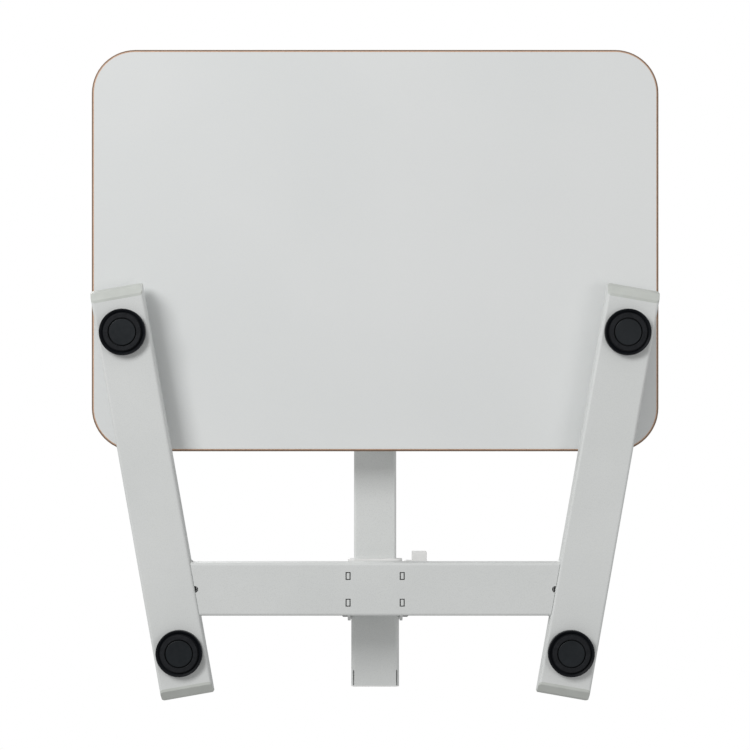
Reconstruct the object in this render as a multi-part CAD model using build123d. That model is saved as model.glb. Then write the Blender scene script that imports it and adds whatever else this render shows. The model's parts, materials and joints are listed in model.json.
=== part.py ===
from build123d import *

import math
import os

# A folding stand for an A2 drawing board, stored folded flat.
# Frame: +X to the user's right, -Y towards the user, +Z up. The feet stand on Z = 0 and the origin
# is in the middle of the object's outline. All sizes are in millimetres and degrees.

# Base: two splayed leg tubes joined by a crossbar tube.
FOOT_HEIGHT = 8.0
TUBE_WALL = 1.5
LEG_WIDTH = 54.5
LEG_DEPTH = 25.0
LEG_CORNER = 3.0
LEG_SPLAY = 10.0
LEG_UNDERSIDE = 414.4
LEG_END_RUN = 10.7
LEG_END_RISE = 18.0
LEG_BEVEL_RUN = 7.8
LEG_BEVEL_RISE = 8.0
LEG_SPACING = 466.6
LEG_TOP = FOOT_HEIGHT + LEG_DEPTH
BAR_Y = 224.7
BAR_WIDTH = 55.4
BAR_DEPTH = 24.0
BAR_CORNER = 3.0
BAR_BOTTOM = LEG_TOP - BAR_DEPTH
LEG_Y = BAR_Y - 100.9
VENT_RADIUS = 3.5

# Feet, given as radii about each foot's axis and heights above the floor.
FOOT_SPACING = 339.4
FOOT_RADIUS = 24.3
FOOT_LIP_BOTTOM = 0.8
FOOT_LIP_WIDTH = 0.7
FOOT_FLOOR = 3.4
FOOT_FLOOR_RADIUS = 20.4
FOOT_EDGE = 0.6
PAD_INNER = 14.8
PAD_OUTER = 19.6
PAD_EDGE = 0.7
PLUG_RADIUS = 13.8
PLUG_BOTTOM = 0.5
PLUG_EDGE = 0.6
SOCKET_RADIUS = 2.3
SOCKET_DEPTH = 1.6
FOOT_SCREW_HEAD = 5.8
FOOT_SCREW_HEAD_THICK = 2.5
FOOT_SCREW_HEAD_BOTTOM = FOOT_FLOOR + 0.3
FOOT_SCREW_SEAT = FOOT_SCREW_HEAD_BOTTOM + FOOT_SCREW_HEAD_THICK
FOOT_SCREW_LENGTH = 18.0
FOOT_THREAD = 3.0
RIVET_RADIUS = 4.5
RIVET_FLANGE = 6.8
RIVET_FLANGE_THICK = 1.0
RIVET_LENGTH = 16.0

# Leg end caps. Each has a bevel under it, then a steeper face that turns upright.
CAP_PLATE = 2.5
CAP_EDGE = 1.0
CAP_CORNER = 2.5
CAP_PLUG_DEPTH = 12.0
CAP_PLUG_WALL = 2.0
FIT_GAP = 0.1

# Fold hinge. Every gap between bodies that move is RUNNING_GAP.
RUNNING_GAP = 0.3
SHAFT_GAP = 0.05
PIVOT_Y = BAR_Y + 29.0
PIVOT_Z = 121.5
FOLD_RANGE = 105.0
PLATE_THICK = 3.0
PLATE_INNER = 26.7
PLATE_OUTER = PLATE_INNER + PLATE_THICK
PLATE_END_RADIUS = 15.5
PLATE_BASE_HALF = 20.5
TAB_OFFSET = 13.9
TAB_LENGTH = 6.2
TAB_RECESS = 0.4
SLOT_LENGTH = 8.2
SLOT_WIDTH = 5.2
STOP_RADIUS = 4.0
STOP_MARGIN = 5.0

# Mast, which slides in the sleeve. The board is fixed to the mast.
HEIGHT_TRAVEL = 60.0
MAST_WIDTH = 45.7
MAST_DEPTH = 38.0
MAST_CORNER = 3.0
MAST_FRONT_Y = BAR_Y - 475.0
MAST_REAR_Y = BAR_Y + 108.0
MAST_CAP_PLATE = 2.0
MAST_PLUG_DEPTH = 12.0

# Sleeve, with a guide bush at each end.
SLEEVE_WIDTH = 51.7
SLEEVE_DEPTH = 44.0
SLEEVE_CORNER = 4.5
COLLAR_FRONT_Y = BAR_Y - 24.9
COLLAR_THICK = 4.0
COLLAR_RIM = 3.5
COLLAR_EDGE = 1.8
COLLAR_LEAN = 3.4
COLLAR_SKIRT = 30.0
SLEEVE_FRONT_Y = COLLAR_FRONT_Y + COLLAR_THICK
SLEEVE_REAR_Y = PIVOT_Y + 83.6
GUIDE_RIM = 1.2
GUIDE_EDGE = 0.5
GUIDE_SKIRT = 20.0
SLIT_WIDTH = 1.2
SLIT_LENGTH = 16.5
SLIT_INSET = 2.55

# Clamp: a bolt with an eye, tightened by the eccentric end of the lever.
BOLT_RADIUS = 4.0
WASHER_RADIUS = 14.0
DISC_RADIUS = 11.5
DISC_THICK = 6.2
DISC_BEVEL = 1.2
DISC_START = PLATE_OUTER + RUNNING_GAP
DISC_END = DISC_START + DISC_THICK
NUT_THICK = 4.0
NUT_RADIUS = 7.5
EYE_RADIUS = 6.0
EYE_HALF = 4.5
PIN_RADIUS = 3.0
PIN_CHAMFER = 0.4
CAM_RADIUS = 9.5
CAM_OFFSET = 1.0
PIN_X = DISC_END + RUNNING_GAP + CAM_RADIUS + CAM_OFFSET
FORK_RADIUS = 12.0
FORK_HALF = EYE_HALF + RUNNING_GAP
LEVER_HALF_AT_CAM = 9.0
LEVER_HALF_AT_TIP = 5.5
LEVER_TIP_Y = PIVOT_Y - 60.1
LEVER_SHOULDER_Y = PIVOT_Y - 50.2
LEVER_WING_LENGTH = 20.0
LEVER_WING_LEFT = 31.3
LEVER_WING_RIGHT = 57.4
LEVER_WING_CORNER = 3.0
LEVER_BLADE_LEFT = 40.0
LEVER_BLADE_RIGHT = 56.2
LEVER_BLADE_CORNER = 2.0
LEVER_EDGE = 1.0

# Board: a wooden core between two white laminates.
BOARD_WIDTH = 600.0
BOARD_LENGTH = 425.0
BOARD_CORNER = 46.0
BOARD_BOTTOM = LEG_TOP + 12.0
BOARD_THICK = 15.0
BOARD_REAR_Y = BAR_Y - 142.5
LAMINATE = 0.5
EDGE_ROUND = 2.6
BOARD_TOP = BOARD_BOTTOM + BOARD_THICK
BOARD_Y = BOARD_REAR_Y - BOARD_LENGTH / 2

# Saddles: each holds the mast between two cheeks and is screwed to the back of the board.
SADDLE_OFFSET = 85.0
SADDLE_WIDTH = 130.0
SADDLE_LENGTH = 60.0
SADDLE_THICK = 2.5
SADDLE_CORNER = 8.0
CHEEK_TOP = PIVOT_Z + 13.0
SADDLE_BOLT_RADIUS = 3.0
SADDLE_BOLT_OFFSET = 18.0
HEX_RADIUS = 5.77
HEX_THICK = 4.0
SCREW_RADIUS = 2.0
SCREW_HEAD_RADIUS = 4.0
SCREW_HEAD_THICK = 2.2
SCREW_HEAD_EDGE = 1.4
SCREW_CROSS_LENGTH = 4.2
SCREW_CROSS_WIDTH = 0.9
SCREW_CROSS_DEPTH = 1.4
SCREW_DEPTH = 11.0
SCREW_OFFSET_X = 53.0
SCREW_OFFSET_Y = 21.0


def along_x(sketch, start, length, y, z):
    """A prism along +X, with the sketch's first size along Z and its second along Y."""
    return Pos(start, y, z) * Rot(0, 90, 0) * extrude(sketch, length)


def along_y(sketch, start, length, x, z):
    """A prism along +Y, with the sketch's first size along X and its second along Z."""
    return Pos(x, start, z) * Rot(-90, 0, 0) * extrude(sketch, length)


def along_z(sketch, start, length, x=0.0, y=0.0):
    return Pos(x, y, start) * extrude(sketch, length)


def box(low, high):
    """A box between two corners."""
    size = [b - a for a, b in zip(low, high)]
    centre = [(a + b) / 2 for a, b in zip(low, high)]
    return Pos(*centre) * Box(*size)


def turned(points):
    """A solid of revolution about Z, from (radius, height) points."""
    return revolve(Plane.XZ * Polygon(*points, align=None), Axis.Z)


def grouped(solids):
    """Separate solids kept together as one node."""
    return Compound(children=list(solids))


def side_profile(points, half_width):
    """A prism across X from (y, z) points."""
    return extrude(Plane.YZ * Polygon(*points, align=None), half_width, both=True)


# Base


def leg_centre_x(y):
    """Distance of a leg's middle line from the centre plane."""
    return LEG_SPACING / 2 - (y - LEG_Y) * math.tan(math.radians(LEG_SPLAY))


def leg_inner_x(y):
    """Distance of a leg's inner side face from the centre plane."""
    return leg_centre_x(y) - LEG_WIDTH / 2 / math.cos(math.radians(LEG_SPLAY))


def leg_places():
    """Where each leg goes: it is drawn lying along X, from its front end to its rear end."""
    return [Pos(side * LEG_SPACING / 2, LEG_Y, 0) * Rot(0, 0, 90 + side * LEG_SPLAY) for side in (-1, 1)]


def foot_places():
    return [leg * Pos(end * FOOT_SPACING / 2, 0, 0) for leg in leg_places() for end in (-1, 1)]


def leg_block(shorter=0.0):
    """The space of a leg between its two shaped ends, each cut back by the given amount."""
    under = LEG_UNDERSIDE / 2 - shorter
    half = [
        (under, FOOT_HEIGHT),
        (under + LEG_BEVEL_RUN, FOOT_HEIGHT + LEG_BEVEL_RISE),
        (under + LEG_END_RUN, FOOT_HEIGHT + LEG_END_RISE),
        (under + LEG_END_RUN, LEG_TOP),
    ]
    outline = Polygon(*half, *[(-x, z) for x, z in reversed(half)], align=None)
    outline = fillet(outline.vertices(), CAP_EDGE)
    return extrude(Plane.XZ * outline, LEG_WIDTH, both=True)


def leg_prism(inset, length=LEG_UNDERSIDE + 4 * LEG_END_RUN):
    """A leg's rounded section, made smaller all round by an inset."""
    corner = max(LEG_CORNER - inset, 0.5)
    section = RectangleRounded(LEG_DEPTH - 2 * inset, LEG_WIDTH - 2 * inset, corner)
    return along_x(section, -length / 2, length, 0, FOOT_HEIGHT + LEG_DEPTH / 2)


def leg_tube():
    tube = (leg_prism(0) - leg_prism(TUBE_WALL)) & leg_block(CAP_PLATE)
    for end in (-1, 1):
        tube -= along_z(Circle(RIVET_RADIUS), FOOT_HEIGHT - 1, TUBE_WALL + 2, end * FOOT_SPACING / 2)
    return tube


def leg_end_cap():
    """The cap of a leg's rear end: a shaped plate with a hollow plug inside the tube."""
    rear = Pos(LEG_UNDERSIDE / 2, 0, 0) * Box(4 * CAP_PLUG_DEPTH, 2 * LEG_WIDTH, 4 * LEG_DEPTH)
    plan = RectangleRounded(LEG_UNDERSIDE + 2 * LEG_END_RUN, LEG_WIDTH, CAP_CORNER)
    plate = (leg_prism(0) & leg_block() & rear & along_z(plan, 0, 2 * LEG_TOP)) - leg_block(CAP_PLATE)
    snug = TUBE_WALL + FIT_GAP
    plug = (leg_prism(snug) - leg_prism(snug + CAP_PLUG_WALL)) & leg_block(CAP_PLATE) & rear
    return plate + (plug - leg_block(CAP_PLATE + CAP_PLUG_DEPTH))


def crossbar():
    length = 2 * leg_inner_x(0)
    half = BAR_WIDTH / 2
    z = BAR_BOTTOM + BAR_DEPTH / 2
    inner = BAR_CORNER - TUBE_WALL
    bar = along_x(RectangleRounded(BAR_DEPTH, BAR_WIDTH, BAR_CORNER), -length / 2, length, BAR_Y, z)
    hollow = RectangleRounded(BAR_DEPTH - 2 * TUBE_WALL, BAR_WIDTH - 2 * TUBE_WALL, inner)
    bar -= along_x(hollow, -length / 2, length, BAR_Y, z)
    front = leg_inner_x(BAR_Y - half)
    rear = leg_inner_x(BAR_Y + half)
    corners = [(-front, BAR_Y - half), (front, BAR_Y - half), (rear, BAR_Y + half), (-rear, BAR_Y + half)]
    bar &= along_z(Polygon(*corners, align=None), 0, 2 * LEG_TOP)
    for side in (-1, 1):
        bar -= along_z(Circle(VENT_RADIUS), BAR_BOTTOM - 1, TUBE_WALL + 2, side * leg_inner_x(BAR_Y), BAR_Y)
        for end in (-1, 1):
            slot = Rectangle(SLOT_WIDTH, SLOT_LENGTH)
            x = side * (PLATE_INNER + PLATE_OUTER) / 2
            bar -= along_z(slot, BAR_BOTTOM - 1, BAR_DEPTH + 2, x, BAR_Y + end * TAB_OFFSET)
    return bar


def foot_cup():
    """A dish under the leg, with a flat floor, a slope out to a narrow lip, and the screw's seat."""
    hole = FOOT_THREAD + FIT_GAP
    well = FOOT_SCREW_HEAD + 4 * FIT_GAP
    recess = RIVET_FLANGE + FIT_GAP
    return turned(
        [
            (hole, FOOT_HEIGHT - RIVET_FLANGE_THICK),
            (recess, FOOT_HEIGHT - RIVET_FLANGE_THICK),
            (recess, FOOT_HEIGHT),
            (FOOT_RADIUS - FOOT_EDGE, FOOT_HEIGHT),
            (FOOT_RADIUS, FOOT_HEIGHT - FOOT_EDGE),
            (FOOT_RADIUS, FOOT_LIP_BOTTOM),
            (FOOT_RADIUS - FOOT_LIP_WIDTH, FOOT_LIP_BOTTOM),
            (FOOT_FLOOR_RADIUS, FOOT_FLOOR),
            (well, FOOT_FLOOR),
            (well, FOOT_SCREW_SEAT),
            (hole, FOOT_SCREW_SEAT),
        ]
    )


def foot_pad():
    """The rubber ring that stands on the floor."""
    ring = turned([(PAD_INNER, 0), (PAD_OUTER, 0), (PAD_OUTER, FOOT_FLOOR), (PAD_INNER, FOOT_FLOOR)])
    return fillet(ring.edges().group_by(Axis.Z)[0], PAD_EDGE)


def foot_plug():
    """The disc that covers the screw in the middle of the foot."""
    disc = along_z(Circle(PLUG_RADIUS), PLUG_BOTTOM, FOOT_FLOOR - PLUG_BOTTOM)
    return fillet(disc.edges().group_by(Axis.Z)[0], PLUG_EDGE)


def foot_screw():
    head = along_z(Circle(FOOT_SCREW_HEAD), FOOT_SCREW_HEAD_BOTTOM, FOOT_SCREW_HEAD_THICK)
    socket = along_z(RegularPolygon(SOCKET_RADIUS, 6), FOOT_SCREW_HEAD_BOTTOM, SOCKET_DEPTH)
    return head - socket + along_z(Circle(FOOT_THREAD), FOOT_SCREW_SEAT, FOOT_SCREW_LENGTH)


def foot_rivet_nut():
    """The threaded insert in the leg, which the foot's screw goes into."""
    nut = along_z(Circle(RIVET_FLANGE), FOOT_HEIGHT - RIVET_FLANGE_THICK, RIVET_FLANGE_THICK)
    nut += along_z(Circle(RIVET_RADIUS), FOOT_HEIGHT, RIVET_LENGTH)
    return nut - along_z(Circle(FOOT_THREAD), 0, LEG_TOP)


# Fold hinge


def fold_stop_place():
    """Height below and distance in front of the pivot, so that one bar stops the fold at both ends."""
    drop = SLEEVE_DEPTH / 2 + RUNNING_GAP + STOP_RADIUS
    return drop, drop * math.tan(math.radians(FOLD_RANGE / 2))


def bracket_plate(side):
    """One plate with its pivot hole and the two tabs that pass through the crossbar."""
    drop, forward = fold_stop_place()
    pivot = Pos(PIVOT_Y, PIVOT_Z) * Circle(PLATE_END_RADIUS)
    stop = Pos(PIVOT_Y - forward, PIVOT_Z - drop) * Circle(STOP_RADIUS + STOP_MARGIN)
    base = Pos(BAR_Y, LEG_TOP + 2) * Rectangle(2 * PLATE_BASE_HALF, 4)
    outline = make_hull((pivot + stop + base).edges())
    plate = extrude(Plane.YZ * outline, PLATE_THICK)
    plate -= along_x(Circle(BOLT_RADIUS + SHAFT_GAP), -1, PLATE_THICK + 2, PIVOT_Y, PIVOT_Z)
    for end in (-1, 1):
        y = BAR_Y + end * TAB_OFFSET
        low = (0, y - TAB_LENGTH / 2, BAR_BOTTOM + TAB_RECESS)
        plate += box(low, (PLATE_THICK, y + TAB_LENGTH / 2, LEG_TOP + 1))
    start = PLATE_INNER if side > 0 else -PLATE_OUTER
    return Pos(start, 0, 0) * plate


def fold_stop():
    drop, forward = fold_stop_place()
    return along_x(Circle(STOP_RADIUS), -PLATE_INNER, 2 * PLATE_INNER, PIVOT_Y - forward, PIVOT_Z - drop)


# Sleeve


def sleeve_prism(inset, start, end):
    corner = max(SLEEVE_CORNER - inset, 0.5)
    section = RectangleRounded(SLEEVE_WIDTH - 2 * inset, SLEEVE_DEPTH - 2 * inset, corner)
    return along_y(section, start, end - start, 0, PIVOT_Z)


def mast_prism(inset, start, end):
    """The mast's section along Y. A negative inset gives the space that it slides in."""
    corner = max(MAST_CORNER - inset, 0.5)
    section = RectangleRounded(MAST_WIDTH - 2 * inset, MAST_DEPTH - 2 * inset, corner)
    return along_y(section, start, end - start, 0, PIVOT_Z)


def sleeve_tube():
    tube = sleeve_prism(0, SLEEVE_FRONT_Y, SLEEVE_REAR_Y)
    tube -= sleeve_prism(TUBE_WALL, SLEEVE_FRONT_Y, SLEEVE_REAR_Y)
    tube -= along_x(Circle(BOLT_RADIUS), -SLEEVE_WIDTH, 2 * SLEEVE_WIDTH, PIVOT_Y, PIVOT_Z)
    for side in (-1, 1):
        x = side * (SLEEVE_WIDTH / 2 - SLIT_INSET)
        low = (x - SLIT_WIDTH / 2, SLEEVE_REAR_Y - SLIT_LENGTH, PIVOT_Z - SLEEVE_DEPTH)
        tube -= box(low, (x + SLIT_WIDTH / 2, SLEEVE_REAR_Y + 1, PIVOT_Z + SLEEVE_DEPTH))
    return tube


def sleeve_collar():
    """Guide bush at the mouth of the sleeve, with a rounded rim that leans back towards its top."""
    rim = sleeve_prism(-COLLAR_RIM, COLLAR_FRONT_Y, SLEEVE_FRONT_Y)
    rim = fillet(rim.edges().group_by(Axis.Y)[0], COLLAR_EDGE)
    bottom = PIVOT_Z - SLEEVE_DEPTH / 2 - COLLAR_RIM + COLLAR_EDGE
    top = PIVOT_Z + SLEEVE_DEPTH / 2 + COLLAR_RIM
    rim -= side_profile(
        [
            (COLLAR_FRONT_Y - 1, bottom),
            (COLLAR_FRONT_Y, bottom),
            (COLLAR_FRONT_Y + COLLAR_LEAN, top),
            (COLLAR_FRONT_Y + COLLAR_LEAN, top + 1),
            (COLLAR_FRONT_Y - 1, top + 1),
        ],
        SLEEVE_WIDTH,
    )
    skirt = sleeve_prism(TUBE_WALL, SLEEVE_FRONT_Y, SLEEVE_FRONT_Y + COLLAR_SKIRT)
    end = SLEEVE_FRONT_Y + COLLAR_SKIRT + 1
    return rim + skirt - mast_prism(-RUNNING_GAP, COLLAR_FRONT_Y - 1, end)


def lower_guide():
    """Guide bush at the sleeve's lower end. Its skirt leaves the corners open behind the slits."""
    start = SLEEVE_REAR_Y - GUIDE_SKIRT
    end = SLEEVE_REAR_Y + GUIDE_RIM
    rim = sleeve_prism(0, SLEEVE_REAR_Y, end)
    rim = fillet(rim.edges().group_by(Axis.Y)[-1], GUIDE_EDGE)
    skirt = sleeve_prism(TUBE_WALL, start, SLEEVE_REAR_Y)
    corner_x = SLEEVE_WIDTH / 2 - SLIT_INSET - 2 * SLIT_WIDTH
    corner_z = SLEEVE_DEPTH / 2 - SLEEVE_CORNER
    for x in (-1, 1):
        for z in (-1, 1):
            corner = Pos(x * 2 * corner_x, SLEEVE_REAR_Y, PIVOT_Z + z * 2 * corner_z)
            skirt -= corner * Box(2 * corner_x, 2 * GUIDE_SKIRT + 2, 2 * corner_z)
    return rim + skirt - mast_prism(-RUNNING_GAP, start - 1, end + 1)


# Clamp


def friction_washer(side):
    start = side * (SLEEVE_WIDTH / 2 if side > 0 else PLATE_INNER - RUNNING_GAP)
    length = PLATE_INNER - RUNNING_GAP - SLEEVE_WIDTH / 2
    ring = Circle(WASHER_RADIUS) - Circle(BOLT_RADIUS)
    return along_x(ring, start, length, PIVOT_Y, PIVOT_Z)


def clamp_disc(outer_end):
    """A black disc outside a bracket plate, bevelled at the end away from the plate."""
    disc = along_x(Circle(DISC_RADIUS), DISC_START, DISC_THICK, PIVOT_Y, PIVOT_Z)
    disc = chamfer(disc.edges().group_by(Axis.X)[-1], DISC_BEVEL)
    return disc - along_x(outer_end, DISC_START - 1, DISC_THICK + 2, PIVOT_Y, PIVOT_Z)


def thrust_cup():
    return clamp_disc(Circle(BOLT_RADIUS))


def nut_cap():
    """The left disc, whose hexagonal pocket holds the lock nut against turning."""
    disc = clamp_disc(Circle(BOLT_RADIUS))
    pocket = RegularPolygon(NUT_RADIUS + FIT_GAP, 6)
    disc -= along_x(pocket, DISC_END - NUT_THICK, NUT_THICK + 1, PIVOT_Y, PIVOT_Z)
    return mirror(disc, Plane.YZ)


def lock_nut():
    nut = along_x(RegularPolygon(NUT_RADIUS, 6), -DISC_END, NUT_THICK, PIVOT_Y, PIVOT_Z)
    return nut - along_x(Circle(BOLT_RADIUS), -DISC_END - 1, NUT_THICK + 2, PIVOT_Y, PIVOT_Z)


def pivot_bolt():
    bolt = along_x(Circle(BOLT_RADIUS), -DISC_END - 0.5, DISC_END + 0.5 + PIN_X, PIVOT_Y, PIVOT_Z)
    bolt += along_z(Circle(EYE_RADIUS), PIVOT_Z - EYE_HALF, 2 * EYE_HALF, PIN_X, PIVOT_Y)
    return bolt - along_z(Circle(PIN_RADIUS), PIVOT_Z - DISC_RADIUS, 2 * DISC_RADIUS, PIN_X, PIVOT_Y)


def cam_pin():
    half = LEVER_HALF_AT_CAM + RUNNING_GAP
    pin = along_z(Circle(PIN_RADIUS), PIVOT_Z - half, 2 * half, PIN_X, PIVOT_Y)
    return chamfer(pin.edges().filter_by(GeomType.CIRCLE), PIN_CHAMFER)


def cam_lever():
    """The lever: a forked eccentric at the bolt's eye, then a wing and a narrower thumb blade."""
    cam = Pos(PIN_X - CAM_OFFSET, PIVOT_Y) * Circle(CAM_RADIUS)
    wing_x = (LEVER_WING_LEFT + LEVER_WING_RIGHT) / 2
    wing_width = LEVER_WING_RIGHT - LEVER_WING_LEFT
    wing = Pos(wing_x, LEVER_SHOULDER_Y + LEVER_WING_LENGTH / 2) * (
        RectangleRounded(wing_width, LEVER_WING_LENGTH, LEVER_WING_CORNER)
    )
    blade_x = (LEVER_BLADE_LEFT + LEVER_BLADE_RIGHT) / 2
    blade_width = LEVER_BLADE_RIGHT - LEVER_BLADE_LEFT
    blade = Pos(blade_x, (LEVER_TIP_Y + PIVOT_Y) / 2) * Rectangle(blade_width, PIVOT_Y - LEVER_TIP_Y)
    tip_corners = blade.vertices().group_by(Axis.Y)[0].sort_by(Axis.X)
    blade = fillet(tip_corners[-1], LEVER_BLADE_CORNER)
    body = along_z(cam + wing + blade, PIVOT_Z - LEVER_HALF_AT_CAM, 2 * LEVER_HALF_AT_CAM)
    taper_y = LEVER_SHOULDER_Y + 1.5 * LEVER_WING_LENGTH
    rear_y = PIVOT_Y + 2 * CAM_RADIUS
    body &= side_profile(
        [
            (LEVER_TIP_Y, PIVOT_Z - LEVER_HALF_AT_TIP),
            (taper_y, PIVOT_Z - LEVER_HALF_AT_CAM),
            (rear_y, PIVOT_Z - LEVER_HALF_AT_CAM),
            (rear_y, PIVOT_Z + LEVER_HALF_AT_CAM),
            (taper_y, PIVOT_Z + LEVER_HALF_AT_CAM),
            (LEVER_TIP_Y, PIVOT_Z + LEVER_HALF_AT_TIP),
        ],
        2 * LEVER_WING_RIGHT,
    )
    rims = body.edges().filter_by(lambda edge: abs(edge.center().Z - PIVOT_Z) > FORK_HALF)
    body = fillet(rims, LEVER_EDGE)
    body -= along_z(Circle(FORK_RADIUS), PIVOT_Z - FORK_HALF, 2 * FORK_HALF, PIN_X, PIVOT_Y)
    hole = Circle(PIN_RADIUS + SHAFT_GAP)
    return body - along_z(hole, PIVOT_Z - DISC_RADIUS, 2 * DISC_RADIUS, PIN_X, PIVOT_Y)


# Mast


def saddle_ys():
    return [BOARD_Y - SADDLE_OFFSET, BOARD_Y + SADDLE_OFFSET]


def saddle_bolt_ys():
    return [y + end * SADDLE_BOLT_OFFSET for y in saddle_ys() for end in (-1, 1)]


def mast_tube():
    """The mast, with a slot in each side for the clamp bolt and holes for the saddle bolts."""
    front = MAST_FRONT_Y + MAST_CAP_PLATE
    rear = MAST_REAR_Y - MAST_CAP_PLATE
    tube = mast_prism(0, front, rear) - mast_prism(TUBE_WALL, front, rear)
    slot_half = BOLT_RADIUS + RUNNING_GAP
    slot = SlotOverall(HEIGHT_TRAVEL + 2 * slot_half, 2 * slot_half, rotation=90)
    tube -= along_x(slot, -MAST_WIDTH, 2 * MAST_WIDTH, PIVOT_Y + HEIGHT_TRAVEL / 2, PIVOT_Z)
    for y in saddle_bolt_ys():
        tube -= along_x(Circle(SADDLE_BOLT_RADIUS), -MAST_WIDTH, 2 * MAST_WIDTH, y, PIVOT_Z)
    return tube


def mast_cap(plate_start, plug_start):
    """A plate over the mast's end, with a hollow plug inside the tube."""
    plate = mast_prism(0, plate_start, plate_start + MAST_CAP_PLATE)
    snug = TUBE_WALL + FIT_GAP
    plug = mast_prism(snug, plug_start, plug_start + MAST_PLUG_DEPTH)
    return plate + (plug - mast_prism(snug + CAP_PLUG_WALL, plug_start, plug_start + MAST_PLUG_DEPTH))


def saddle(y):
    """A base plate under the mast, with a cheek on each side of it."""
    base = RectangleRounded(SADDLE_WIDTH, SADDLE_LENGTH, SADDLE_CORNER)
    plate = along_z(base, BOARD_TOP, SADDLE_THICK, 0, y)
    for x in (-SCREW_OFFSET_X, SCREW_OFFSET_X):
        for dy in (-SCREW_OFFSET_Y, SCREW_OFFSET_Y):
            plate -= along_z(Circle(SCREW_RADIUS), BOARD_TOP - 1, SADDLE_THICK + 2, x, y + dy)
    half = SADDLE_LENGTH / 2
    cheek = box((0, y - half, BOARD_TOP), (SADDLE_THICK, y + half, CHEEK_TOP))
    top_corners = cheek.edges().filter_by(Axis.X).group_by(Axis.Z)[-1]
    cheek = fillet(top_corners, SADDLE_CORNER)
    for dy in (-SADDLE_BOLT_OFFSET, SADDLE_BOLT_OFFSET):
        cheek -= along_x(Circle(SADDLE_BOLT_RADIUS), -1, SADDLE_THICK + 2, y + dy, PIVOT_Z)
    for start in (-MAST_WIDTH / 2 - SADDLE_THICK, MAST_WIDTH / 2):
        plate += Pos(start, 0, 0) * cheek
    return plate


def saddle_bolt(y):
    outside = MAST_WIDTH / 2 + SADDLE_THICK
    head = along_x(RegularPolygon(HEX_RADIUS, 6), outside, HEX_THICK, y, PIVOT_Z)
    reach = outside + HEX_THICK + 2
    return head + along_x(Circle(SADDLE_BOLT_RADIUS), -reach, reach + outside, y, PIVOT_Z)


def saddle_nut(y):
    outside = MAST_WIDTH / 2 + SADDLE_THICK
    ring = RegularPolygon(HEX_RADIUS, 6) - Circle(SADDLE_BOLT_RADIUS)
    return along_x(ring, -outside - HEX_THICK, HEX_THICK, y, PIVOT_Z)


def wood_screw_places():
    return [
        (x, y + dy)
        for y in saddle_ys()
        for x in (-SCREW_OFFSET_X, SCREW_OFFSET_X)
        for dy in (-SCREW_OFFSET_Y, SCREW_OFFSET_Y)
    ]


def wood_screw(x, y):
    """A screw with a domed head and a cross recess."""
    plate_top = BOARD_TOP + SADDLE_THICK
    head = along_z(Circle(SCREW_HEAD_RADIUS), plate_top, SCREW_HEAD_THICK, x, y)
    head = fillet(head.edges().group_by(Axis.Z)[-1], SCREW_HEAD_EDGE)
    across = Rectangle(SCREW_CROSS_LENGTH, SCREW_CROSS_WIDTH)
    along = Rectangle(SCREW_CROSS_WIDTH, SCREW_CROSS_LENGTH)
    recess_bottom = plate_top + SCREW_HEAD_THICK - SCREW_CROSS_DEPTH
    head -= along_z(across + along, recess_bottom, SCREW_HEAD_THICK, x, y)
    return head + along_z(Circle(SCREW_RADIUS), BOARD_TOP - SCREW_DEPTH, SCREW_DEPTH + SADDLE_THICK, x, y)


# Board


def board_sheet(inset, bottom, top):
    outline = RectangleRounded(BOARD_WIDTH - 2 * inset, BOARD_LENGTH - 2 * inset, BOARD_CORNER - inset)
    return along_z(outline, bottom, top - bottom, 0, BOARD_Y)


def without_screws(sheet):
    for x, y in wood_screw_places():
        sheet -= along_z(Circle(SCREW_RADIUS), BOARD_TOP - SCREW_DEPTH, SCREW_DEPTH + 1, x, y)
    return sheet


def board_core():
    """The core, with its two rims rounded over so that the wood shows around the laminates."""
    core = board_sheet(0, BOARD_BOTTOM + LAMINATE, BOARD_TOP - LAMINATE)
    rims = core.edges().group_by(Axis.Z)
    return without_screws(fillet(rims[0] + rims[-1], EDGE_ROUND))


def board_face():
    return board_sheet(EDGE_ROUND, BOARD_BOTTOM, BOARD_BOTTOM + LAMINATE)


def board_back():
    return without_screws(board_sheet(EDGE_ROUND, BOARD_TOP - LAMINATE, BOARD_TOP))


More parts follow.
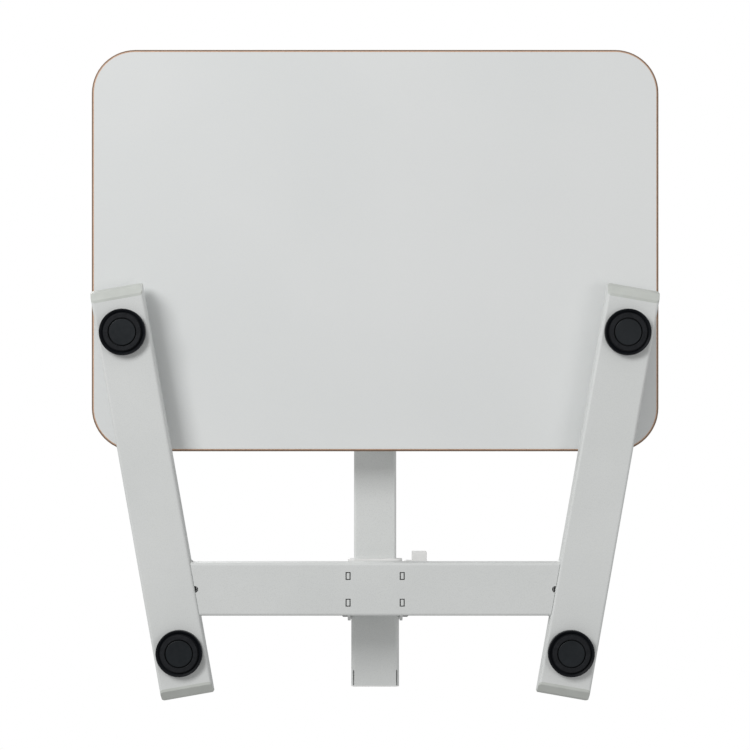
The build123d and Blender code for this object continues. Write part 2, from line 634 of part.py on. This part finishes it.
def nodes():
    """Every node's name and shape."""
    left, right = leg_places()
    cap_places = [leg * Rot(0, 0, turn) for leg in (left, right) for turn in (0, 180)]
    feet = foot_places()
    upper_y, lower_y = saddle_ys()
    mast_rear = MAST_REAR_Y - MAST_CAP_PLATE
    return {
        "leg_left": left * leg_tube(),
        "leg_right": right * leg_tube(),
        "leg_end_caps": grouped(place * leg_end_cap() for place in cap_places),
        "crossbar": crossbar(),
        "foot_cups": grouped(place * foot_cup() for place in feet),
        "foot_pads": grouped(place * foot_pad() for place in feet),
        "foot_plugs": grouped(place * foot_plug() for place in feet),
        "foot_screws": grouped(place * foot_screw() for place in feet),
        "foot_rivet_nuts": grouped(place * foot_rivet_nut() for place in feet),
        "bracket_plate_left": bracket_plate(-1),
        "bracket_plate_right": bracket_plate(1),
        "fold_stop": fold_stop(),
        "sleeve_tube": sleeve_tube(),
        "sleeve_collar": sleeve_collar(),
        "lower_guide": lower_guide(),
        "friction_washers": grouped(friction_washer(side) for side in (-1, 1)),
        "thrust_cup": thrust_cup(),
        "nut_cap": nut_cap(),
        "lock_nut": lock_nut(),
        "pivot_bolt": pivot_bolt(),
        "cam_pin": cam_pin(),
        "cam_lever": cam_lever(),
        "mast_tube": mast_tube(),
        "mast_upper_cap": mast_cap(MAST_FRONT_Y, MAST_FRONT_Y + MAST_CAP_PLATE),
        "mast_lower_cap": mast_cap(mast_rear, mast_rear - MAST_PLUG_DEPTH),
        "saddle_upper": saddle(upper_y),
        "saddle_lower": saddle(lower_y),
        "saddle_bolts": grouped(saddle_bolt(y) for y in saddle_bolt_ys()),
        "saddle_nuts": grouped(saddle_nut(y) for y in saddle_bolt_ys()),
        "wood_screws": grouped(wood_screw(x, y) for x, y in wood_screw_places()),
        "board_core": board_core(),
        "board_face": board_face(),
        "board_back": board_back(),
    }


os.makedirs("parts", exist_ok=True)
for name, shape in nodes().items():
    export_step(shape, f"parts/{name}.step")
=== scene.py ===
import json
import math
import random

import bmesh
import bpy
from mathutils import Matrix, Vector


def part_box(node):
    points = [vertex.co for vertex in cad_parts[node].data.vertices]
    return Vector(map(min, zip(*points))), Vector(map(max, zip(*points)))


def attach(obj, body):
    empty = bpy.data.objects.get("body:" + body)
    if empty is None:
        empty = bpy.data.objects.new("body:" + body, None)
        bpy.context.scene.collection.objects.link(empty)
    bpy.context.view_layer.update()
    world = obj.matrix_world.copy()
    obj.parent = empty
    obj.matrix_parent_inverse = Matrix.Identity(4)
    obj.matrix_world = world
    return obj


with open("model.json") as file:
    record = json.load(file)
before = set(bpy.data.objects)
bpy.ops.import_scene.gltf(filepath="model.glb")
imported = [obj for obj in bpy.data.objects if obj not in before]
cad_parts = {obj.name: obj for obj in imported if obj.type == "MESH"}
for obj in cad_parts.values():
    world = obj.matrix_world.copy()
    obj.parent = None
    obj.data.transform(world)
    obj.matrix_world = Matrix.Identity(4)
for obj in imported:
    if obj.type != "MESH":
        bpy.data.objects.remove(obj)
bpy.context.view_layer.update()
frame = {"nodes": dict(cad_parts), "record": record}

# A folding drawing board, seen from below while it stands folded flat on its four feet.
# Lengths are in metres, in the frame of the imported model: +X right, -Y towards the user, +Z up.

MM = 0.001
UP = (0.0, 0.0, 1.0)
WHITE = (1.0, 1.0, 1.0)
FACING_UP = (math.pi, 0.0, 0.0)

# Camera: under the object, looking straight up, with the user's side at the top of the picture.
# The view's width is measured at the height of the feet's soles.
CAMERA_DISTANCE = 2.340
CAMERA_X = -0.00014
CAMERA_Y = 0.0014
CAMERA_REACH = 50.0
SENSOR = 36.0
VIEW_WIDTH = 0.7782

# Key light: a large softbox on the camera's side, up and to the left in the picture.
KEY_HEIGHT = 3.6
KEY_SLOPE_X = 0.77
KEY_SLOPE_Y = 0.70
KEY_SIZE_X = 2.35
KEY_SIZE_Y = 2.6
KEY_POWER = 190.0

# Fill light: smaller, nearer and weaker, to the right in the picture. Top light: for views from above.
FILL_PLACE = (1.4, 0.05, -2.0)
FILL_SIZE = 1.0
FILL_POWER = 6.6
TOP_PLACE = (-1.6, -2.0, 4.2)
TOP_TURN = (math.radians(24), math.radians(-20), 0.0)
TOP_SIZE = 2.4
TOP_POWER = 85.0

# Brightness of the white surroundings, from behind the camera to above the object.
AMBIENT_BELOW = 0.24
AMBIENT_AROUND = 0.60
AMBIENT_ABOVE = 0.30

# The floor. Its glow keeps it pale from above, where the lamps are weak, and lights nothing else.
FLOOR_SIZE = 40.0
FLOOR_COLOUR = (0.90, 0.90, 0.895)
FLOOR_ROUGHNESS = 0.7
FLOOR_GLOW = 0.22

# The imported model's own sizes that the added pieces follow.
LEG_SPLAY = math.radians(10)
PLATE_BASE_HALF = 20.5 * MM
SADDLE_BOLT_OFFSET = 18 * MM

# Weld beads. Steps are counts, and the other plain numbers are shares of the bead's size.
BEAD_SIZE = 1.8 * MM
BEAD_MARGIN = 3.5 * MM
BEAD_BURIED = 0.3
BEAD_END = 0.45
BEAD_FLATTENING = 0.12
BEAD_UNEVENNESS = 0.03
BEAD_SECTION_STEPS = 8
RIPPLE_PITCH = 1.3 * MM
RIPPLE_HEIGHT = 0.10
RIPPLE_LAG = 0.6
RIPPLE_STEPS = 8

# The thread on the ends of the saddle bolts. Its ridge starts low and rises over a part of its length,
# and falls again towards its end. The crest's width is a share of the ridge's.
THREAD_ROOT = 2.9 * MM
THREAD_HEIGHT = 0.45 * MM
THREAD_PITCH = 1.0 * MM
THREAD_HALF_WIDTH = 0.4 * THREAD_PITCH
THREAD_CREST = 0.15
THREAD_TURNS = 1.5
THREAD_STEPS = 36
THREAD_START = 0.1
THREAD_RISE = 4.0

# The range that a noise mostly keeps to.
NOISE_LOW = 0.3
NOISE_HIGH = 0.7

# How much of an edge's bend counts as worn, and how strongly it shows.
WORN_BEND = 0.3
WORN_STRENGTH = 3.0

# The darkest and the palest tone of each moulded plastic.
GREY_TONES = ((0.575, 0.597, 0.563), (0.625, 0.647, 0.613))
PALE_TONES = ((0.83, 0.83, 0.82), (0.88, 0.88, 0.87))
NYLON_TONES = ((0.74, 0.74, 0.71), (0.80, 0.80, 0.77))
BLACK_TONES = ((0.003, 0.004, 0.006), (0.006, 0.0075, 0.0100))
DISC_TONES = ((0.0055, 0.0080, 0.0105), (0.0085, 0.0115, 0.0145))


# Materials


def colour_mix(tree, amount, first, second, blend="MIX"):
    """A colour mix, whose three inputs are each a value or a socket."""
    node = tree.nodes.new("ShaderNodeMix")
    node.data_type = "RGBA"
    node.blend_type = blend
    inputs = {socket.identifier: socket for socket in node.inputs}
    sockets = (inputs["Factor_Float"], inputs["A_Color"], inputs["B_Color"])
    for socket, value in zip(sockets, (amount, first, second)):
        if isinstance(value, bpy.types.NodeSocket):
            tree.links.new(value, socket)
        else:
            socket.default_value = (*value, 1.0) if isinstance(value, tuple) else value
    return next(socket for socket in node.outputs if socket.identifier == "Result_Color")


class Shader:
    """A material's node tree, with short names for the nodes that every finish here uses."""

    def __init__(self, name):
        self.material = bpy.data.materials.new(name)
        self.material.use_nodes = True
        self.tree = self.material.node_tree
        self.surface = self.tree.nodes["Principled BSDF"]
        self.place = self.tree.nodes.new("ShaderNodeTexCoord").outputs["Object"]

    def set(self, **values):
        """Values on the shader's own sockets, which are named with underscores for spaces."""
        for name, value in values.items():
            self.surface.inputs[name.replace("_", " ")].default_value = value
        return self

    def link(self, output, node, name):
        self.tree.links.new(output, node.inputs[name])

    def stretched(self, scale):
        """Object coordinates scaled along each axis, for grain that runs one way."""
        mapping = self.tree.nodes.new("ShaderNodeMapping")
        mapping.inputs["Scale"].default_value = scale
        self.link(self.place, mapping, "Vector")
        return mapping.outputs["Vector"]

    def noise(self, scale, detail=2.0, roughness=0.5, place=None):
        """A fractal noise, with scale in features per metre."""
        node = self.tree.nodes.new("ShaderNodeTexNoise")
        node.inputs["Scale"].default_value = scale
        node.inputs["Detail"].default_value = detail
        node.inputs["Roughness"].default_value = roughness
        self.link(place or self.place, node, "Vector")
        return node.outputs["Fac"]

    def ramp(self, value, stops):
        """Colours or greys along a value, from (position, colour) stops."""
        node = self.tree.nodes.new("ShaderNodeValToRGB")
        node.color_ramp.interpolation = "EASE"
        elements = node.color_ramp.elements
        while len(elements) < len(stops):
            elements.new(0.5)
        for element, (position, colour) in zip(elements, stops):
            element.position = position
            element.color = (*colour, 1.0) if isinstance(colour, tuple) else (colour, colour, colour, 1.0)
        self.link(value, node, "Fac")
        return node.outputs["Color"]

    def between(self, noise, low, high):
        """A colour that wanders between two tones as a noise does."""
        return self.ramp(noise, [(NOISE_LOW, low), (NOISE_HIGH, high)])

    def math(self, operation, first, second):
        node = self.tree.nodes.new("ShaderNodeMath")
        node.operation = operation
        for socket, value in zip(node.inputs, (first, second)):
            if isinstance(value, (int, float)):
                socket.default_value = value
            else:
                self.tree.links.new(value, socket)
        return node.outputs["Value"]

    def darken(self, output, by, amount=1.0):
        """A colour multiplied by another."""
        return colour_mix(self.tree, amount, output, by, "MULTIPLY")

    def worn(self, output, radius, tone, most):
        """A colour with a paler, rubbed tone on the edges of the shape, in patches."""
        patches = self.ramp(self.noise(140.0, 4.0, 0.6), [(0.42, 0.25), (0.62, 1.0)])
        bend = self.math("MINIMUM", self.edges(radius), WORN_BEND)
        amount = self.math("MULTIPLY", bend, WORN_STRENGTH * most)
        return colour_mix(self.tree, self.math("MULTIPLY", amount, patches), output, tone)

    def colour(self, output):
        self.link(output, self.surface, "Base Color")

    def roughness(self, value, low, high):
        """A roughness that wanders between two values as a noise does."""
        node = self.tree.nodes.new("ShaderNodeMapRange")
        node.inputs["From Min"].default_value = NOISE_LOW
        node.inputs["From Max"].default_value = NOISE_HIGH
        node.inputs["To Min"].default_value = low
        node.inputs["To Max"].default_value = high
        self.link(value, node, "Value")
        self.link(node.outputs["Result"], self.surface, "Roughness")

    def bump(self, *layers):
        """Surface relief from (height, depth in metres, strength) layers, one on top of another."""
        under = None
        for height, depth, strength in layers:
            node = self.tree.nodes.new("ShaderNodeBump")
            node.inputs["Distance"].default_value = depth
            node.inputs["Strength"].default_value = strength
            self.link(height, node, "Height")
            if under is not None:
                self.link(under, node, "Normal")
            under = node.outputs["Normal"]
        self.link(under, self.surface, "Normal")

    def edges(self, radius):
        """How far each point is on an edge of the shape, from 0 on a flat face to about 1."""
        bevel = self.tree.nodes.new("ShaderNodeBevel")
        bevel.inputs["Radius"].default_value = radius
        bevel.samples = 4
        geometry = self.tree.nodes.new("ShaderNodeNewGeometry")
        dot = self.tree.nodes.new("ShaderNodeVectorMath")
        dot.operation = "DOT_PRODUCT"
        self.tree.links.new(bevel.outputs["Normal"], dot.inputs[0])
        self.tree.links.new(geometry.outputs["Normal"], dot.inputs[1])
        return self.math("SUBTRACT", 1.0, dot.outputs["Value"])


def powder_coat():
    """Off-white powder coating on steel, with a fine orange peel."""
    shader = Shader("painted_steel").set(Specular_IOR_Level=0.45)
    grain = shader.noise(1400.0)
    tint = shader.between(shader.noise(9.0, 3.0), (0.735, 0.752, 0.742), (0.765, 0.780, 0.770))
    speck = shader.ramp(grain, [(0.36, 0.93), (0.5, 1.0)])
    shader.colour(shader.worn(shader.darken(tint, speck), 0.5 * MM, (0.82, 0.83, 0.82), 0.5))
    shader.roughness(shader.noise(60.0, 4.0), 0.38, 0.50)
    shader.bump((shader.noise(650.0), 0.12 * MM, 0.35), (grain, 0.04 * MM, 0.3))
    return shader.material


def laminate():
    """Matt white melamine, with the faint pebbled emboss of a writing surface."""
    shader = Shader("white_laminate").set(Specular_IOR_Level=0.4)
    tint = shader.between(shader.noise(5.0), (0.812, 0.830, 0.826), (0.836, 0.850, 0.846))
    pores = shader.ramp(shader.noise(1900.0), [(0.3, 0.96), (0.42, 1.0)])
    shader.colour(shader.darken(tint, pores))
    shader.roughness(shader.noise(120.0, 4.0), 0.44, 0.56)
    emboss = shader.noise(2200.0, 3.0, 0.6)
    shader.bump((emboss, 0.03 * MM, 0.4), (shader.noise(14.0, 1.0), 0.8 * MM, 0.15))
    return shader.material


def wood_core(bottom, top):
    """Thin plies on edge, with grain along them. Next to each laminate, a pale band is partly pale wood and
    partly painted highlight on the rounded edge. The brown band inside it is partly dark wood and partly
    painted shade on the edge's steeper part. Further in, the plies are tan and brown.
    """
    shader = Shader("wood_core").set(Specular_IOR_Level=0.3)
    split = shader.tree.nodes.new("ShaderNodeSeparateXYZ")
    shader.link(shader.place, split, "Vector")
    height = shader.math("DIVIDE", shader.math("SUBTRACT", split.outputs["Z"], bottom), top - bottom)
    fibre = shader.noise(1.0, 6.0, 0.65, shader.stretched((90.0, 90.0, 2600.0)))
    waver = shader.math("MULTIPLY", shader.math("SUBTRACT", fibre, 0.5), 0.008)
    wavy_height = shader.math("ADD", height, waver)
    pale = (0.70, 0.46, 0.32)
    tan = (0.43, 0.29, 0.20)
    brown = (0.185, 0.122, 0.088)
    # The pale ends of this ramp are partly painted highlight, and the brown bands next to them are partly
    # painted shade of the rounded edges. The tan and brown plies between them are the wood's own.
    plies = [(0.0, pale), (0.010, pale), (0.024, brown)]
    plies += [(i / 8, tan if i % 2 else brown) for i in range(1, 8)]
    plies += [(0.976, brown), (0.990, pale), (1.0, pale)]
    vessels = shader.noise(1.0, 4.0, 0.6, shader.stretched((420.0, 420.0, 5200.0)))
    pores = shader.ramp(vessels, [(0.35, 0.72), (0.55, 1.0)])
    shader.colour(shader.darken(shader.ramp(wavy_height, plies), pores, 0.8))
    shader.roughness(fibre, 0.5, 0.72)
    shader.bump((fibre, 0.2 * MM, 0.4))
    return shader.material


def moulded(name, tones, roughness, gloss=0.5):
    """Moulded plastic: a fine spark-eroded texture with a little variation in tone."""
    shader = Shader(name).set(Specular_IOR_Level=gloss)
    dark, pale = tones
    rubbed = tuple(min(1.0, 1.15 * value + 0.01) for value in pale)
    tint = shader.between(shader.noise(45.0, 4.0), dark, pale)
    shader.colour(shader.worn(tint, 0.4 * MM, rubbed, 0.4))
    shader.roughness(shader.noise(220.0, 3.0), roughness - 0.06, roughness + 0.06)
    shader.bump((shader.noise(900.0, 3.0, 0.6), 0.03 * MM, 0.5))
    return shader.material


def rubber():
    """Matt black rubber, a little dusty in patches."""
    shader = Shader("black_rubber").set(Specular_IOR_Level=0.25)
    clean = (0.0055, 0.0065, 0.0085)
    dusty = (0.012, 0.0135, 0.0165)
    shader.colour(shader.ramp(shader.noise(160.0, 5.0, 0.6), [(0.3, clean), (0.75, dusty)]))
    shader.roughness(shader.noise(300.0, 4.0), 0.55, 0.75)
    shader.bump((shader.noise(1800.0, 3.0, 0.7), 0.06 * MM, 0.6))
    return shader.material


def zinc_plate():
    """Bright zinc plating, with the faint clouding that it has on small fasteners."""
    shader = Shader("zinc_steel").set(Metallic=1.0)
    tint = shader.between(shader.noise(260.0, 4.0, 0.6), (0.48, 0.49, 0.51), (0.70, 0.71, 0.73))
    shader.colour(shader.worn(tint, 0.3 * MM, (0.82, 0.83, 0.85), 0.6))
    shader.roughness(shader.noise(900.0, 3.0), 0.24, 0.42)
    brushing = shader.noise(1.0, 3.0, 0.6, shader.stretched((700.0, 700.0, 4500.0)))
    shader.bump((brushing, 0.02 * MM, 0.4))
    return shader.material


def finishes():
    """The material of each slot in the record."""
    low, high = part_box("board_core")
    return {
        "painted_steel": powder_coat(),
        "grey_plastic": moulded("grey_plastic", GREY_TONES, 0.48),
        "pale_plastic": moulded("pale_plastic", PALE_TONES, 0.40),
        "black_plastic": moulded("black_plastic", BLACK_TONES, 0.46, gloss=0.28),
        "black_rubber": rubber(),
        "zinc_steel": zinc_plate(),
        "white_nylon": moulded("white_nylon", NYLON_TONES, 0.40),
        "white_laminate": laminate(),
        "wood_core": wood_core(low.z, high.z),
    }


def dress_nodes():
    """Each node in its slot's finish, but for the discs in the feet, a paler black than the cups."""
    disc = moulded("black_plastic_disc", DISC_TONES, 0.42, gloss=0.36)
    for part in frame["record"]["subparts"]:
        finish = disc if part["node"] == "foot_plugs" else MATERIALS[part["material_slot"]]
        mesh = frame["nodes"][part["node"]].data
        mesh.materials.clear()
        mesh.materials.append(finish)


# Pieces that the CAD leaves out: weld beads and threads


def add_piece(name, build, slot, body):
    """A mesh piece from a function that fills a bmesh, riding on one body."""
    shape = bmesh.new()
    build(shape)
    bmesh.ops.recalc_face_normals(shape, faces=shape.faces)
    mesh = bpy.data.meshes.new(name)
    shape.to_mesh(mesh)
    shape.free()
    for face in mesh.polygons:
        face.use_smooth = True
    piece = bpy.data.objects.new(name, mesh)
    bpy.context.scene.collection.objects.link(piece)
    mesh.materials.append(MATERIALS[slot])
    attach(piece, body)


def swept(shape, rings):
    """A closed skin through a list of rings that have the same number of points."""
    loops = [[shape.verts.new(point) for point in ring] for ring in rings]
    for near, far in zip(loops, loops[1:]):
        for i in range(len(near)):
            j = (i + 1) % len(near)
            shape.faces.new((near[i], near[j], far[j], far[i]))
    shape.faces.new(list(reversed(loops[0])))
    shape.faces.new(loops[-1])


def bead_ring(root, first, second, distance, size):
    """One section of a weld bead, in the corner between two surfaces. Its crown lags behind its toes."""
    ring = [root - BEAD_BURIED * size * (first + second)]
    for i in range(BEAD_SECTION_STEPS + 1):
        turn = math.pi / 2 * i / BEAD_SECTION_STEPS
        crown = math.sin(2 * turn)
        lagging = distance + RIPPLE_LAG * size * crown
        ripple = 1.0 + RIPPLE_HEIGHT * math.sin(2 * math.pi * lagging / RIPPLE_PITCH)
        flat = 1.0 - BEAD_FLATTENING * crown
        out = first * math.cos(turn) + second * math.sin(turn)
        ring.append(root + size * flat * ripple * out)
    return ring


def straight_bead(start, end, first, second):
    """A function that builds a rippled bead from start to end between two surfaces."""
    start, end = Vector(start), Vector(end)
    first, second = Vector(first).normalized(), Vector(second).normalized()
    along = (end - start).normalized()
    length = (end - start).length
    steps = int(RIPPLE_STEPS * length / RIPPLE_PITCH)

    def build(shape):
        rings = []
        for i in range(steps + 1):
            distance = length * i / steps
            nearest_end = min(distance, length - distance)
            taper = min(1.0, BEAD_END + nearest_end / BEAD_SIZE)
            size = BEAD_SIZE * taper * random.uniform(1.0 - BEAD_UNEVENNESS, 1.0 + BEAD_UNEVENNESS)
            rings.append(bead_ring(start + distance * along, first, second, distance, size))
        swept(shape, rings)

    return build


def thread_end(nut_x, y, z):
    """A function that builds a helical ridge round a bolt's end, from the nut outwards along -X."""
    steps = int(THREAD_STEPS * THREAD_TURNS)
    half = Vector((THREAD_HALF_WIDTH, 0.0, 0.0))
    half_crest = THREAD_CREST * half

    def build(shape):
        rings = []
        for i in range(steps + 1):
            turn = 2 * math.pi * i / THREAD_STEPS
            out = Vector((0.0, math.cos(turn), math.sin(turn)))
            x = nut_x - half.x - THREAD_PITCH * i / THREAD_STEPS
            root = Vector((x, y, z)) + THREAD_ROOT * out
            nearest_end = min(i, steps - i) / steps
            height = THREAD_HEIGHT * min(1.0, THREAD_START + THREAD_RISE * nearest_end)
            crest = root + height * out
            rings.append([root - half, crest - half_crest, crest + half_crest, root + half])
        swept(shape, rings)

    return build


def add_frame_welds():
    """Beads at the front and rear of the crossbar's two ends, and along the feet of the bracket plates."""
    low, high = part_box("crossbar")
    narrower = (high.y - low.y) * math.tan(LEG_SPLAY)
    for side, leg in ((-1.0, "leg_left"), (1.0, "leg_right")):
        for label, x, y, away in (("front", high.x, low.y, -1.0), ("rear", high.x - narrower, high.y, 1.0)):
            along_leg = (-side * away * math.sin(LEG_SPLAY), away * math.cos(LEG_SPLAY), 0.0)
            start = (side * x, y, low.z + BEAD_MARGIN)
            end = (side * x, y, high.z - BEAD_MARGIN)
            bead = straight_bead(start, end, (-side, 0.0, 0.0), along_leg)
            add_piece(f"weld_{leg}_{label}", bead, "painted_steel", "base")
    middle = (low.y + high.y) / 2
    half = PLATE_BASE_HALF - BEAD_SIZE
    for plate in ("bracket_plate_left", "bracket_plate_right"):
        near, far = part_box(plate)
        for label, x, away in (("left", near.x, -1.0), ("right", far.x, 1.0)):
            start = (x, middle - half, high.z)
            end = (x, middle + half, high.z)
            bead = straight_bead(start, end, (away, 0.0, 0.0), UP)
            add_piece(f"weld_{plate}_{label}", bead, "painted_steel", "base")


def add_threads():
    """The threaded ends of the saddle bolts, which stand out beyond their nuts."""
    nut_low, nut_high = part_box("saddle_nuts")
    z = (nut_low.z + nut_high.z) / 2
    for saddle in ("saddle_upper", "saddle_lower"):
        low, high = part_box(saddle)
        middle = (low.y + high.y) / 2
        for label, offset in (("front", -SADDLE_BOLT_OFFSET), ("rear", SADDLE_BOLT_OFFSET)):
            thread = thread_end(nut_low.x, middle + offset, z)
            add_piece(f"thread_{saddle}_{label}", thread, "zinc_steel", "mast")


# Studio


def add_camera():
    data = bpy.data.cameras.new("camera")
    data.sensor_width = SENSOR
    data.lens = SENSOR * CAMERA_DISTANCE / VIEW_WIDTH
    data.clip_end = CAMERA_REACH
    camera = bpy.data.objects.new("camera", data)
    bpy.context.scene.collection.objects.link(camera)
    camera.location = (CAMERA_X, CAMERA_Y, -CAMERA_DISTANCE)
    camera.rotation_euler = FACING_UP
    bpy.context.scene.camera = camera


def add_area(name, place, turn, size, power):
    """A rectangular lamp, turned about X and then Y from shining straight down."""
    data = bpy.data.lights.new(name, "AREA")
    data.shape = "RECTANGLE"
    data.size, data.size_y = size
    data.energy = power
    lamp = bpy.data.objects.new(name, data)
    bpy.context.scene.collection.objects.link(lamp)
    lamp.location = place
    lamp.rotation_euler = turn


def add_lights():
    key = Vector((-KEY_SLOPE_X * KEY_HEIGHT, -KEY_SLOPE_Y * KEY_HEIGHT, -KEY_HEIGHT))
    add_area("key_light", key, FACING_UP, (KEY_SIZE_X, KEY_SIZE_Y), KEY_POWER)
    add_area("fill_light", FILL_PLACE, FACING_UP, (FILL_SIZE, FILL_SIZE), FILL_POWER)
    add_area("top_light", TOP_PLACE, TOP_TURN, (TOP_SIZE, TOP_SIZE), TOP_POWER)


def add_world():
    """Surroundings that show white, and light the object mostly from around it."""
    world = bpy.data.worlds.new("studio")
    bpy.context.scene.world = world
    world.use_nodes = True
    tree = world.node_tree
    direction = tree.nodes.new("ShaderNodeTexCoord").outputs["Generated"]
    split = tree.nodes.new("ShaderNodeSeparateXYZ")
    tree.links.new(direction, split.inputs["Vector"])
    height = tree.nodes.new("ShaderNodeMapRange")
    height.inputs["From Min"].default_value = -1.0
    tree.links.new(split.outputs["Z"], height.inputs["Value"])
    light = tree.nodes.new("ShaderNodeValToRGB")
    light.color_ramp.elements.new(0.5)
    for element, value in zip(light.color_ramp.elements, (AMBIENT_BELOW, AMBIENT_AROUND, AMBIENT_ABOVE)):
        element.color = (value, value, value, 1.0)
    tree.links.new(height.outputs["Result"], light.inputs["Fac"])
    seen = tree.nodes.new("ShaderNodeLightPath").outputs["Is Camera Ray"]
    shown = colour_mix(tree, seen, light.outputs["Color"], WHITE)
    tree.links.new(shown, tree.nodes["Background"].inputs["Color"])


def add_floor():
    """A pale floor that shows only from above and casts no shadow, as the camera is under it."""
    bpy.ops.mesh.primitive_plane_add(size=FLOOR_SIZE)
    floor = bpy.context.object
    floor.name = "floor"
    material = bpy.data.materials.new("floor")
    material.use_nodes = True
    nodes = material.node_tree.nodes
    links = material.node_tree.links
    surface = nodes["Principled BSDF"]
    surface.inputs["Base Color"].default_value = (*FLOOR_COLOUR, 1.0)
    surface.inputs["Roughness"].default_value = FLOOR_ROUGHNESS
    surface.inputs["Emission Color"].default_value = (*WHITE, 1.0)
    surface.inputs["Emission Strength"].default_value = FLOOR_GLOW
    clear = nodes.new("ShaderNodeBsdfTransparent")
    side = nodes.new("ShaderNodeNewGeometry")
    blend = nodes.new("ShaderNodeMixShader")
    links.new(side.outputs["Backfacing"], blend.inputs["Fac"])
    links.new(surface.outputs["BSDF"], blend.inputs[1])
    links.new(clear.outputs["BSDF"], blend.inputs[2])
    links.new(blend.outputs["Shader"], nodes["Material Output"].inputs["Surface"])
    floor.data.materials.append(material)
    floor.visible_shadow = False
    floor.visible_diffuse = False
    floor.visible_glossy = False


random.seed(1)
bpy.context.scene.view_settings.view_transform = "Standard"
add_camera()
add_lights()
add_world()
add_floor()
MATERIALS = finishes()
dress_nodes()
add_frame_welds()
add_threads()

bpy.context.view_layer.update()
